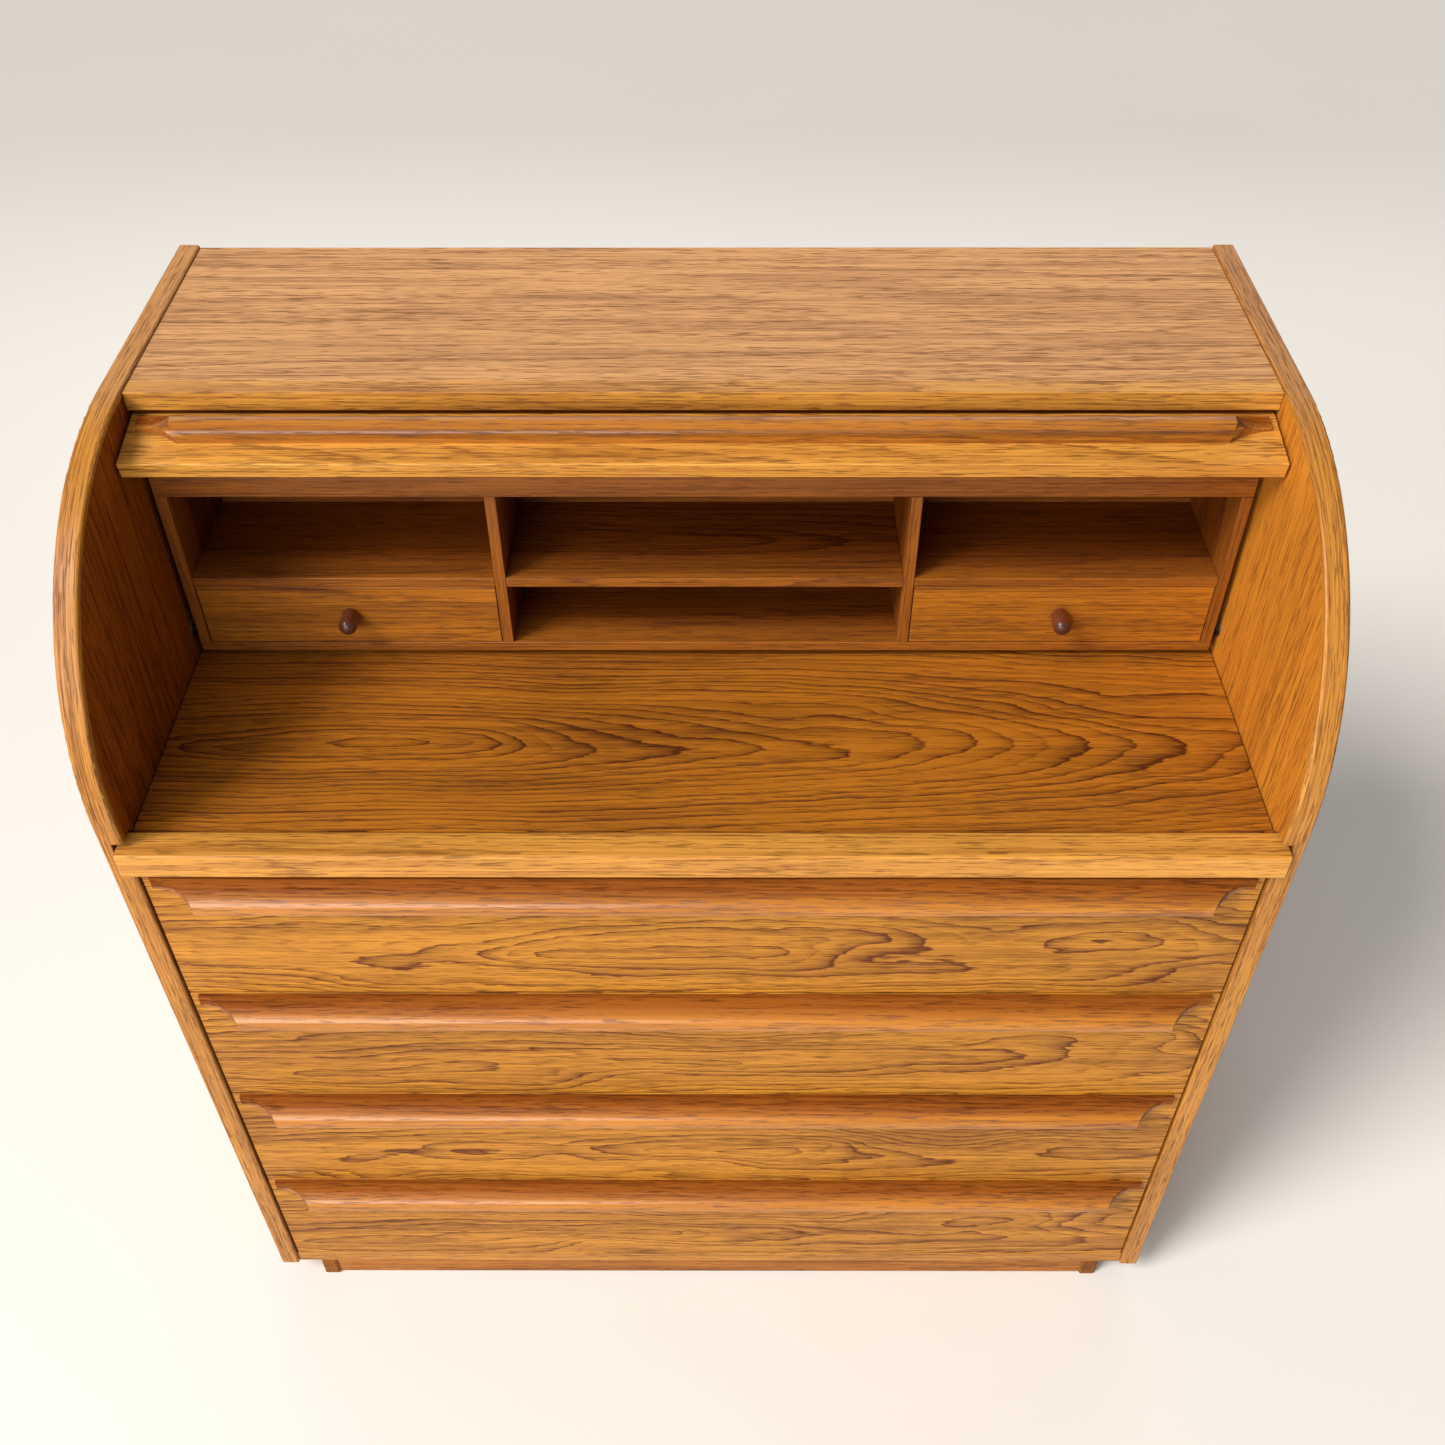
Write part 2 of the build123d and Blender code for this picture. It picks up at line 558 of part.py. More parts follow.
def make_small_drawer(name, side):
    """A small drawer on the right (side 1) or the left (side -1)."""
    x = (ORG_DIVIDER + ORG_BOARD / 2 + SMALL_GAP, ORG_HALF - ORG_BOARD - SMALL_GAP)
    z = (ORG_FLOOR + SMALL_GAP, ORG_SHELF - SMALL_GAP)
    front_y = (ORG_Y + SMALL_RECESS, ORG_Y + SMALL_RECESS + SMALL_FRONT)
    back_y = ORG_BACK_Y - SMALL_BACK_GAP
    box_z = (z[0], z[0] + SMALL_BOX_HEIGHT)
    ply_z = (box_z[0] + SMALL_PLY_LIFT, box_z[0] + SMALL_PLY_LIFT + SMALL_PLY)
    tongue = SMALL_SIDE / 2
    ply = board((x[0] + tongue, x[1] - tongue), (front_y[1] - tongue, back_y), ply_z)
    middle = ((x[0] + x[1]) / 2, (z[0] + z[1]) / 2)
    hole_ends = [(middle[0], y, middle[1]) for y in (front_y[0] - 1, front_y[0] + KNOB_TENON_LENGTH)]
    hole = rod(*hole_ends, KNOB_TENON)
    sides = [(x[0], x[0] + SMALL_SIDE), (x[1] - SMALL_SIDE, x[1])]
    walls = [board(side_x, (front_y[1], back_y), box_z) - ply for side_x in sides]
    back_x = (sides[0][1], sides[1][0])
    back = board(back_x, (back_y - SMALL_SIDE, back_y), (ply_z[1], box_z[1]))
    pieces = {
        "front": board(x, front_y, z, SOFT_EDGE) - ply - hole,
        "knob": Pos(middle[0], front_y[0], middle[1]) * knob(),
        "bottom": ply,
        "box": group([*walls, back]),
    }
    for piece, solid in pieces.items():
        parts[f"{name}_{piece}"] = solid if side > 0 else mirrored(solid)


# ---- lid --------------------------------------------------------------------------------------------
def rail_plane():
    """The rail's outer face: X across the desk, Y towards the rear, Z outwards."""
    tilt = radians(RAIL_TILT)
    corner = (0, PIVOT_Y + RAIL_REAR[0], PIVOT_Z + RAIL_REAR[1])
    return Plane(origin=corner, x_dir=(1, 0, 0), z_dir=(0, -sin(tilt), cos(tilt)))


def arm_screws(clearance=0.0):
    """Screws from the right arm's flange into the lid's shell."""
    under = LID_RADIUS - LID_THICK - ARM_STEEL
    screws = []
    head_radius, head_height = ARM_SCREW_HEAD
    reaches = (under - HEAD_SEAT - head_height, under - HEAD_SEAT, LID_RADIUS - ARM_SCREW_COVER + clearance)
    for angle in (ARM_ANGLE - ARM_SCREW_SPREAD, ARM_ANGLE + ARM_SCREW_SPREAD):
        low, seat, tip = [(ARM_SCREW_X, *around_pivot(reach, angle)) for reach in reaches]
        shank = rod(seat, tip, ARM_SCREW_RADIUS + clearance)
        screws.append(shank if clearance else shank + rod(low, seat, head_radius))
    return screws


def make_arm():
    """The steel arm beside the pigeonholes that carries the right end of the lid."""
    under = LID_RADIUS - LID_THICK
    low, high = ARM_ANGLE - ARM_SPREAD, ARM_ANGLE + ARM_SPREAD
    outer = under - ARM_SHELL_GAP
    foot = ring_sector(under - ARM_FOOT, outer, low, high, ARM_X)
    flange = ring_sector(under - ARM_STEEL, outer, low, high, (ARM_X[1] - ARM_FLANGE - ARM_STEEL, ARM_X[1]))
    reach = under - ARM_SHORT
    bar = Box(ARM_X[1] - ARM_X[0], 2 * ARM_HALF_WIDTH, reach)
    centre_x = sum(ARM_X) / 2
    bar = Pos(centre_x, PIVOT_Y, PIVOT_Z) * Rot(-ARM_ANGLE, 0, 0) * Pos(0, 0, reach / 2) * bar
    eye = rod((ARM_X[0], PIVOT_Y, PIVOT_Z), (ARM_X[1], PIVOT_Y, PIVOT_Z), ARM_EYE_RADIUS)
    hole_ends = [(x, PIVOT_Y, PIVOT_Z) for x in (ARM_X[0] - 1, ARM_X[1] + 1)]
    arm = foot + flange + bar + eye
    arm -= rod(*hole_ends, PIVOT_RADIUS + PIVOT_CLEAR)
    return arm - arm_screws(HOLE_CLEAR)


def make_lid(pull):
    plane = rail_plane()
    rail = Pos(0, -RAIL_WIDTH / 2, -RAIL_THICK / 2) * Box(2 * RAIL_HALF, RAIL_WIDTH, RAIL_THICK)
    parts["lid_rail"] = plane * fillet(rail.edges(), RAIL_ROUND)
    parts["lid_pull"] = plane * (Pos(0, -RAIL_PULL_SETBACK, 0) * pull)
    across = (-LID_HALF, LID_HALF)
    shell = ring_sector(LID_RADIUS - LID_THICK, LID_RADIUS, LID_START_ANGLE, LID_END_ANGLE, across)
    ahead = plane * (Pos(0, -CORNER_RADIUS, 0) * Box(WIDTH, 2 * CORNER_RADIUS, 2 * CORNER_RADIUS))
    holes = arm_screws(HOLE_CLEAR)
    parts["lid_shell"] = shell - ahead - holes - [mirrored(hole) for hole in holes]
    add_pair("lid_arm", make_arm())
    parts["lid_arm_screws"] = group(arm_screws() + [mirrored(screw) for screw in arm_screws()])
    parts["lid_pivot_pins"] = both_sides(pivot_pin())
    washer = rod((ARM_X[1] + WASHER_GAP, PIVOT_Y, PIVOT_Z), (INNER_X, PIVOT_Y, PIVOT_Z), WASHER_RADIUS)
    washer -= rod((ARM_X[1], PIVOT_Y, PIVOT_Z), (INNER_X + 1, PIVOT_Y, PIVOT_Z), PIVOT_RADIUS + PIVOT_CLEAR)
    parts["lid_washers"] = both_sides(washer)
    parts["lid_stops"] = both_sides(lid_stop())


make_sides()
make_case()
make_rails()
make_base()
make_drawers()
make_desktop()
make_organizer()
make_small_drawer("small_drawer_right", 1)
make_small_drawer("small_drawer_left", -1)
make_lid(make_pull())

os.makedirs("parts", exist_ok=True)
for node, shape in parts.items():
    export_step(shape, f"parts/{node}.step")
print(len(parts), "nodes")
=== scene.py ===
import json
import math

import bpy
from mathutils import Matrix, Vector


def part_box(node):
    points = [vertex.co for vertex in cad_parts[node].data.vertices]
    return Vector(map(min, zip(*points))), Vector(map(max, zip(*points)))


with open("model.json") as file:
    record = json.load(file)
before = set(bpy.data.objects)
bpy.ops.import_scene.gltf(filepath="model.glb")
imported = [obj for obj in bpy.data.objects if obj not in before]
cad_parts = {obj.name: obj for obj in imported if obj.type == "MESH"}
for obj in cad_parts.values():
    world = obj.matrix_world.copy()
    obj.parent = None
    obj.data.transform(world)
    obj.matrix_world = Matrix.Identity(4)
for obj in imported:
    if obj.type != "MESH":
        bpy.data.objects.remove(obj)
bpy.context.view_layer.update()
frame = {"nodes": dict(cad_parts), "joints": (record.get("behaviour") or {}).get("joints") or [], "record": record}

# ---- the camera: metres, degrees, millimetres of lens -----------------------------------------------
CAMERA_PLACE = (0.0198, -1.0657, 1.7038)
CAMERA_PITCH = 44.0         # below the horizon
CAMERA_YAW = 0.21
CAMERA_ROLL = -0.118
LENS = 37.23
SENSOR = 36.0

# ---- light and floor --------------------------------------------------------------------------------
WORLD_COLOR = (1.0, 0.965, 0.91)
WORLD_STRENGTH = 0.20
SUN_STRENGTH = 3.1
SUN_ANGLE = 22.0                        # wide, for soft shadows
SUN_FROM = (-1.0, -0.64, 1.25)          # towards the light
SUN_COLOR = (1.0, 0.97, 0.93)
WINDOW = {"place": (-1.25, -2.5, 1.75), "target": (0.0, -0.25, 0.65), "size": (2.4, 1.5), "power": 66.0}
BACK_LIGHT = {"place": (0.0, 2.1, 2.0), "target": (0.0, 0.0, 1.0), "size": (4.0, 2.2), "power": 26.0}

FLOOR_SIZE = 200.0
FLOOR_COLOR = (0.76, 0.735, 0.695)
FLOOR_DARKEST = 0.96                    # share of the floor's colour left in its darker patches
FLOOR_PATCHES = (1.5, 1.5, 1.5)
FLOOR_ROUGHNESS = 0.85

# ---- wood colours, linear: the lighter ground and the darker grain ----------------------------------
HONEY = (0.56, 0.230, 0.024)
HONEY_DARK = (0.13, 0.030, 0.003)
BRIGHT = (0.68, 0.310, 0.050)
BRIGHT_DARK = (0.26, 0.075, 0.008)
AMBER = (0.49, 0.180, 0.020)
AMBER_DARK = (0.19, 0.042, 0.004)
# Organiser boards: the wood's own colour, darkened as painted shade under the lid.
ORGANISER_WOOD_AND_SHADE = (0.33, 0.102, 0.010)
ORGANISER_GRAIN_AND_SHADE = (0.070, 0.015, 0.002)
STRAW = (0.54, 0.225, 0.034)
STRAW_DARK = (0.18, 0.050, 0.006)
# Organiser back: the wood's own colour, darkened further as painted shade.
BACK_WOOD_AND_SHADE = (0.26, 0.078, 0.009)
BACK_GRAIN_AND_SHADE = (0.070, 0.015, 0.002)
GOLD = (0.45, 0.152, 0.012)
GOLD_DARK = (0.085, 0.018, 0.002)
# Top: the wood's own tan, its blue raised as a painted sheen.
TOP_TAN_AND_SHEEN = (0.66, 0.330, 0.125)
TAN_DARK = (0.17, 0.055, 0.012)
ORANGE = (0.60, 0.220, 0.021)
ORANGE_DARK = (0.24, 0.055, 0.004)
KNOB = (0.155, 0.036, 0.012)
KNOB_DARK = (0.055, 0.012, 0.005)
PALE = (0.58, 0.38, 0.19)
PALE_DARK = (0.40, 0.22, 0.09)
PORE = (0.085, 0.022, 0.003)

# ---- metal and nylon --------------------------------------------------------------------------------
STEEL_DARK = (0.46, 0.45, 0.43)
STEEL_LIGHT = (0.62, 0.61, 0.59)
BROWNED_DARK = (0.030, 0.020, 0.014)
BROWNED_LIGHT = (0.060, 0.042, 0.030)
NYLON_DARK = (0.060, 0.040, 0.028)
NYLON_LIGHT = (0.090, 0.062, 0.045)
BRUSHING = (900.0, 60.0, 900.0)
STEEL_PATCHES = (30.0, 30.0, 30.0)
STEEL_SMOOTH, STEEL_ROUGHEN = 0.22, 0.25
NYLON_PATCHES = (120.0, 120.0, 120.0)
NYLON_SMOOTH, NYLON_ROUGHEN = 0.40, 0.15

# ---- painted shade in hollows, cubbies and the left side's inner face; end grain, which drinks more oil ---
# Painted shade: the tint that darkens the wood towards a piece's far end.
PAINTED_SHADE_TINT = (0.50, 0.36, 0.30)
PAINTED_SHADE_DARKNESS = 0.9
PAINTED_SHADE_ROUGHNESS = 0.35
PAINTED_SHADE_FADE = 0.35             # share of the reach over which the painted shade fades
END_GRAIN_TINT = (0.40, 0.28, 0.22)
END_GRAIN_DARKNESS = 0.8
END_GRAIN_ROUGHNESS = 0.45
END_GRAIN_FROM = 0.20           # how far the surface turns across the grain before it counts
END_GRAIN_GAIN = 2.2

# ---- the wood's figure ------------------------------------------------------------------------------
# Scales are per metre along, across and through the grain.
BEND_SCALE = (2.4, 8.5, 8.5)    # the tree's slow bends
WAVER_SCALE = (9.0, 30.0, 30.0)
SHAKE_SCALE = (26.0, 240.0, 240.0)
STREAK_SCALE = (8.0, 640.0, 640.0)
BAND_SCALE = (2.6, 85.0, 85.0)
CLOUD_SCALE = (2.5, 9.0, 9.0)
PORE_SCALE = (45.0, 850.0, 850.0)
CROWD_SCALE = (4.0, 60.0, 60.0)

BEND_ASIDE = 0.8                # of Wander
WAVER_SHARE = 0.13              # of Wander
SHAKE_SHARE = 0.55              # of Spacing
LATE_POWER, LATE_WEIGHT = 1.8, 0.48     # the year's wood darkens slowly
LINE_POWER, LINE_WEIGHT = 13.0, 0.95    # and ends in a thin dark line
LINE_CUT = 16.0                 # how sharply that line gives way to the next year
YEAR_RANGE, YEAR_LEAST = 0.9, 0.25      # some years are darker than others
STREAK_TONE, BAND_TONE, CLOUD_TONE, GROUND_TONE = 4.0, 1.9, 2.2, 0.20
PORES_BY_RING, PORES_BY_CROWD = 0.16, 0.24
PORE_FROM, PORE_GAIN = 0.69, 12.0
PORE_DARKNESS = 0.70
TONE_HEIGHT, PORE_HEIGHT = -0.25, 0.5
STREAK_ROUGHNESS, PORE_ROUGHNESS = 0.25, 0.25
BUMP_STRENGTH = 0.3
BUMP_DISTANCE = 0.0004
SHINE = 0.3                     # specular level of oiled wood
COAT_ROUGHNESS = 0.25
SEED_STEP = 1.7                 # every piece has grain of its own

WOOD_VALUES = {
    "Seed": 0.0,
    "Centre": 0.0,          # across the grain, where the cathedral's middle lies
    "Depth": 0.02,          # how far below the surface the tree's heart runs
    "Slope": 0.05,          # how fast the surface climbs away from the heart along the grain
    "Spacing": 0.006,       # between growth rings
    "Wander": 0.03,         # wavering of the rings
    "Rings": 0.6,
    "Streaks": 0.5,
    "Cloud": 0.35,
    "Pores": 0.8,
    "Rough": 0.38,
}

# ---- each wooden node's look: grain order, light, dark, figure --------------------------------------
# The order names the axes along, across and through the grain.
FLAT = {"Depth": 0.30, "Slope": 0.01, "Spacing": 0.0045, "Wander": 0.012, "Rings": 0.30}
SOLID = {"Depth": 0.25, "Slope": 0.02, "Spacing": 0.0035, "Wander": 0.010, "Rings": 0.32, "Streaks": 0.55}
PLAIN = {"Depth": 0.20, "Slope": 0.02, "Spacing": 0.004, "Wander": 0.012, "Rings": 0.15, "Streaks": 0.35}
MOULDED = dict(SOLID, Rough=0.26, shine=0.6)
TURNED = dict(PLAIN, Rough=0.2, coat=0.6)
EDGING = dict(SOLID, Depth=0.0)
FRONT_SHINE = 0.18

# Painted shade: an axis, and how far in from the piece's far end on it the painted shade reaches.
# Painted shade, darkening the left side's inner face only.
LEFT_INNER_FACE_SHADE = ("x", 0.002)
# Painted shade, deepening from the cubbies' front edges inwards.
CUBBY_SHADE_REACH = ("y", 0.116)
PULL_HOLLOW_SHADE_REACH = 0.0145            # the painted shade's reach only: down on the drawers' pulls, forward on the lid's

# Organiser boards carry that painted shade.
SHADED_CUBBY_BOARD = dict(FLAT, sheltered=CUBBY_SHADE_REACH)

LOOKS = {
    "top_panel": ("xyz", TOP_TAN_AND_SHEEN, TAN_DARK, dict(FLAT, Streaks=0.6, Rings=0.25, Rough=0.55, shine=0.2)),
    "top_lipping": ("xyz", BRIGHT, BRIGHT_DARK, SOLID),
    "side_panel_left": ("zyx", ORANGE, ORANGE_DARK, dict(FLAT, Rings=0.22, sheltered=LEFT_INNER_FACE_SHADE)),
    "side_panel_right": ("zyx", ORANGE, ORANGE_DARK, dict(FLAT, Rings=0.22)),
    "side_lipping_left": ("curve", STRAW, STRAW_DARK, EDGING),
    "side_lipping_right": ("curve", STRAW, STRAW_DARK, EDGING),
    "back_panel": ("zxy", GOLD, GOLD_DARK, FLAT),
    "bottom_panel": ("xyz", HONEY, HONEY_DARK, SOLID),
    "foot_boards": ("yzx", HONEY, HONEY_DARK, SOLID),
    "base_rails": ("xzy", GOLD, HONEY_DARK, dict(SOLID, shine=FRONT_SHINE)),
    "lid_shell": ("xyz", GOLD, GOLD_DARK, FLAT),
    "lid_rail": ("xyz", BRIGHT, BRIGHT_DARK, dict(SOLID, Rings=0.4)),
    # Painted shade in the lid pull's hollow.
    "lid_pull": ("xyz", AMBER, AMBER_DARK, dict(MOULDED, sheltered=("y", PULL_HOLLOW_SHADE_REACH))),
    "desktop_panel": (
        "xyz", GOLD, GOLD_DARK,
        {"Centre": -0.090, "Depth": 0.026, "Slope": 0.12, "Spacing": 0.0054, "Wander": 0.060,
         "Rings": 1.25, "Streaks": 0.40, "Cloud": 0.5},
    ),
    "desktop_lipping": ("xzy", BRIGHT, BRIGHT_DARK, SOLID),
    "organizer_back": ("xzy", BACK_WOOD_AND_SHADE, BACK_GRAIN_AND_SHADE, FLAT),
    "organizer_top": ("xyz", ORGANISER_WOOD_AND_SHADE, ORGANISER_GRAIN_AND_SHADE, SHADED_CUBBY_BOARD),
    "organizer_bottom": ("xyz", ORGANISER_WOOD_AND_SHADE, ORGANISER_GRAIN_AND_SHADE, SHADED_CUBBY_BOARD),
    "organizer_shelf_center": (
        "xyz", ORGANISER_WOOD_AND_SHADE, ORGANISER_GRAIN_AND_SHADE,
        {"Depth": 0.01, "Slope": 0.06, "Spacing": 0.007, "Wander": 0.04, "Rings": 0.6, "sheltered": CUBBY_SHADE_REACH},
    ),
    "organizer_side_shelves": ("xyz", ORGANISER_WOOD_AND_SHADE, ORGANISER_GRAIN_AND_SHADE, dict(SHADED_CUBBY_BOARD, Rings=0.5)),
    "organizer_dividers": ("zyx", ORGANISER_WOOD_AND_SHADE, ORGANISER_GRAIN_AND_SHADE, SHADED_CUBBY_BOARD),
    "organizer_wall_left": ("zyx", ORGANISER_WOOD_AND_SHADE, ORGANISER_GRAIN_AND_SHADE, SHADED_CUBBY_BOARD),
    "organizer_wall_right": ("zyx", ORGANISER_WOOD_AND_SHADE, ORGANISER_GRAIN_AND_SHADE, SHADED_CUBBY_BOARD),
    "small_drawer_left_front": ("xzy", GOLD, GOLD_DARK, SOLID),
    "small_drawer_right_front": ("xzy", GOLD, GOLD_DARK, SOLID),
    "small_drawer_left_knob": ("yxz", KNOB, KNOB_DARK, TURNED),
    "small_drawer_right_knob": ("yxz", KNOB, KNOB_DARK, TURNED),
}
FRONT_FIGURES = (       # the four large drawers, from the top down
    {"Centre": -0.020, "Depth": 0.004, "Slope": 0.085, "Spacing": 0.0085, "Wander": 0.15, "Rings": 1.10},
    {"Centre": -0.024, "Depth": 0.010, "Slope": 0.085, "Spacing": 0.0085, "Wander": 0.16, "Rings": 1.05},
    {"Centre": -0.028, "Depth": 0.002, "Slope": 0.090, "Spacing": 0.0080, "Wander": 0.16, "Rings": 1.05},
    {"Centre": -0.032, "Depth": 0.012, "Slope": 0.080, "Spacing": 0.0085, "Wander": 0.16, "Rings": 1.05},
)
BROWNED = ("lid_arm_left", "lid_arm_right", "lid_pivot_pins")


# ---- node trees -------------------------------------------------------------------------------------
class Nodes:
    """Short calls for building a node tree."""

    def __init__(self, tree):
        self.tree = tree

    def add(self, kind, inputs=None, **settings):
        node = self.tree.nodes.new(kind)
        for name, value in settings.items():
            setattr(node, name, value)
        for name, value in (inputs or {}).items():
            self.feed(node.inputs[name], value)
        return node

    def feed(self, socket, value):
        if isinstance(value, bpy.types.NodeSocket):
            self.tree.links.new(value, socket)
        else:
            socket.default_value = value

    def math(self, operation, a, b=0.0, c=0.0, clamp=False):
        node = self.add("ShaderNodeMath", {0: a, 1: b, 2: c}, operation=operation, use_clamp=clamp)
        return node.outputs[0]

    def vector_math(self, operation, a, b):
        return self.add("ShaderNodeVectorMath", {0: a, 1: b}, operation=operation).outputs[0]

    def length(self, a, b):
        """The hypotenuse over two lengths at right angles."""
        return self.math("SQRT", self.math("ADD", self.math("POWER", a, 2.0), self.math("POWER", b, 2.0)))

    def noise(self, vector, scale, seed, detail=2.0, roughness=0.5):
        """Noise from 0 to 1 over a vector stretched by scale."""
        stretched = self.vector_math("MULTIPLY", vector, scale)
        inputs = {"Vector": stretched, "W": seed, "Scale": 1.0, "Detail": detail, "Roughness": roughness}
        return self.add("ShaderNodeTexNoise", inputs, noise_dimensions="4D").outputs["Fac"]

    def swing(self, *place, **fineness):
        """The same noise about 0, from -0.5 to 0.5."""
        return self.math("SUBTRACT", self.noise(*place, **fineness), 0.5)

    def mix(self, factor, a, b, blend="MIX"):
        node = self.add("ShaderNodeMix", data_type="RGBA", blend_type=blend)
        self.feed(node.inputs["Factor"], factor)
        self.feed(node.inputs[6], a)
        self.feed(node.inputs[7], b)
        return node.outputs[2]

    def place(self):
        """A point's place on the piece, in metres."""
        return self.add("ShaderNodeTexCoord").outputs["Object"]

    def split(self, vector):
        return self.add("ShaderNodeSeparateXYZ", {0: vector}).outputs

    def join(self, *values):
        return self.add("ShaderNodeCombineXYZ", dict(enumerate(values))).outputs[0]


def rgba(color):
    return (*color, 1.0)


def new_material(name):
    """A new material, its node builder and its shader."""
    material = bpy.data.materials.new(name)
    material.use_nodes = True
    return material, Nodes(material.node_tree), material.node_tree.nodes["Principled BSDF"]


# ---- the wood ---------------------------------------------------------------------------------------
def growth_rings(n, given):
    """How dark a point is for its place in the year's growth, round a heart that runs along the grain."""
    vector, seed, wander = given["Vector"], given["Seed"], given["Wander"]
    along, across, through = n.split(vector)
    bend = n.swing(vector, BEND_SCALE, seed)
    waver = n.swing(vector, WAVER_SCALE, seed, detail=3.0)
    shake = n.swing(vector, SHAKE_SCALE, seed, detail=3.0, roughness=0.6)
    climb = n.math("MULTIPLY", along, given["Slope"])
    depth = n.math("ADD", climb, n.math("ADD", given["Depth"], through))
    depth = n.math("MULTIPLY_ADD", bend, wander, depth)
    aside = n.math("SUBTRACT", across, given["Centre"])
    aside = n.math("MULTIPLY_ADD", bend, n.math("MULTIPLY", wander, BEND_ASIDE), aside)
    radius = n.length(depth, aside)
    radius = n.math("MULTIPLY_ADD", waver, n.math("MULTIPLY", wander, WAVER_SHARE), radius)
    radius = n.math("MULTIPLY_ADD", shake, n.math("MULTIPLY", given["Spacing"], SHAKE_SHARE), radius)
    years = n.math("DIVIDE", radius, given["Spacing"])
    part = n.math("FRACT", years)
    late = n.math("MULTIPLY", n.math("POWER", part, LATE_POWER), LATE_WEIGHT)
    late = n.math("MULTIPLY_ADD", n.math("POWER", part, LINE_POWER), LINE_WEIGHT, late)
    cut = n.math("MULTIPLY", n.math("SUBTRACT", 1.0, part), LINE_CUT, clamp=True)
    whole = {"W": n.math("FLOOR", years)}
    year = n.add("ShaderNodeTexWhiteNoise", whole, noise_dimensions="1D").outputs["Value"]
    darkness = n.math("MULTIPLY_ADD", year, YEAR_RANGE, YEAR_LEAST)
    return n.math("MULTIPLY", n.math("MULTIPLY", late, cut), darkness)


def wood_tone(n, given, ring, streak):
    """0 for the light ground to 1 for the dark grain: rings, streaks, bands and slow clouds."""
    vector, seed, streaks = given["Vector"], given["Seed"], given["Streaks"]
    band = n.swing(vector, BAND_SCALE, seed)
    cloud = n.swing(vector, CLOUD_SCALE, seed)
    tone = n.math("MULTIPLY", ring, given["Rings"])
    tone = n.math("MULTIPLY_ADD", streak, n.math("MULTIPLY", streaks, STREAK_TONE), tone)
    tone = n.math("MULTIPLY_ADD", band, n.math("MULTIPLY", streaks, BAND_TONE), tone)
    tone = n.math("MULTIPLY_ADD", cloud, n.math("MULTIPLY", given["Cloud"], CLOUD_TONE), tone)
    return n.math("ADD", tone, GROUND_TONE, clamp=True)


def wood_pores(n, given, ring):
    """Strongest in the short dark pores, which crowd in places and along the rings; 0 between them."""
    vector, seed = given["Vector"], given["Seed"]
    pore = n.noise(vector, PORE_SCALE, seed, detail=1.0)
    crowd = n.noise(vector, CROWD_SCALE, seed, detail=1.0)
    crowd = n.math("MULTIPLY_ADD", ring, PORES_BY_RING, n.math("MULTIPLY", crowd, PORES_BY_CROWD))
    pore = n.math("SUBTRACT", n.math("ADD", crowd, pore), PORE_FROM)
    pore = n.math("MULTIPLY", pore, PORE_GAIN, clamp=True)
    return n.math("MULTIPLY", pore, given["Pores"])


def make_wood_group():
    """Flat-sawn teak: nested growth rings, fine streaks, short dark pores and slow changes of tone."""
    group = bpy.data.node_groups.new("wood", "ShaderNodeTree")
    face = group.interface
    face.new_socket("Vector", in_out="INPUT", socket_type="NodeSocketVector")
    for name in ("Light", "Dark"):
        face.new_socket(name, in_out="INPUT", socket_type="NodeSocketColor")
    for name in WOOD_VALUES:
        face.new_socket(name, in_out="INPUT", socket_type="NodeSocketFloat")
    face.new_socket("Color", in_out="OUTPUT", socket_type="NodeSocketColor")
    face.new_socket("Roughness", in_out="OUTPUT", socket_type="NodeSocketFloat")
    face.new_socket("Height", in_out="OUTPUT", socket_type="NodeSocketFloat")

    n = Nodes(group)
    given = n.add("NodeGroupInput").outputs
    ring = growth_rings(n, given)
    streak = n.swing(given["Vector"], STREAK_SCALE, given["Seed"], detail=3.0, roughness=0.65)
    tone = wood_tone(n, given, ring, streak)
    pore = wood_pores(n, given, ring)
    color = n.mix(tone, given["Light"], given["Dark"])
    color = n.mix(n.math("MULTIPLY", pore, PORE_DARKNESS), color, rgba(PORE))
    height = n.math("MULTIPLY", tone, TONE_HEIGHT)
    height = n.math("SUBTRACT", height, n.math("MULTIPLY", pore, PORE_HEIGHT))
    roughness = n.math("MULTIPLY_ADD", streak, STREAK_ROUGHNESS, given["Rough"])
    roughness = n.math("ADD", roughness, n.math("MULTIPLY", pore, PORE_ROUGHNESS))
    n.add("NodeGroupOutput", {"Color": color, "Roughness": roughness, "Height": height})
    return group


WOOD = make_wood_group()
HINGE = Vector(next(joint for joint in frame["joints"] if joint["name"] == "lid_hinge")["pos_m"])
CORNER_RADIUS = HINGE.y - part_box("side_lipping_right")[0].y


def straight_grain(n, node, order):
    """A point's place from the piece's middle, reordered to run along, across and through the grain."""
    low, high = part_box(node)
    from_middle = n.split(n.vector_math("SUBTRACT", n.place(), (low + high) / 2))
    return n.join(*(from_middle["xyz".index(axis)] for axis in order))


def curved_grain(n):
    """The grain of a lipping bent round a side's corner: along the edge, across it, out from the hinge."""
    x, y, z = n.split(n.vector_math("SUBTRACT", n.place(), HINGE))
    ahead = n.math("MULTIPLY", n.math("MINIMUM", y, 0.0), -1.0)
    above = n.math("MAXIMUM", z, 0.0)
    turned = n.math("MULTIPLY", n.math("ARCTAN2", ahead, above), -CORNER_RADIUS)
    straight = n.math("ADD", n.math("MAXIMUM", y, 0.0), n.math("MINIMUM", z, 0.0))
    return n.join(n.math("ADD", turned, straight), x, n.length(ahead, above))


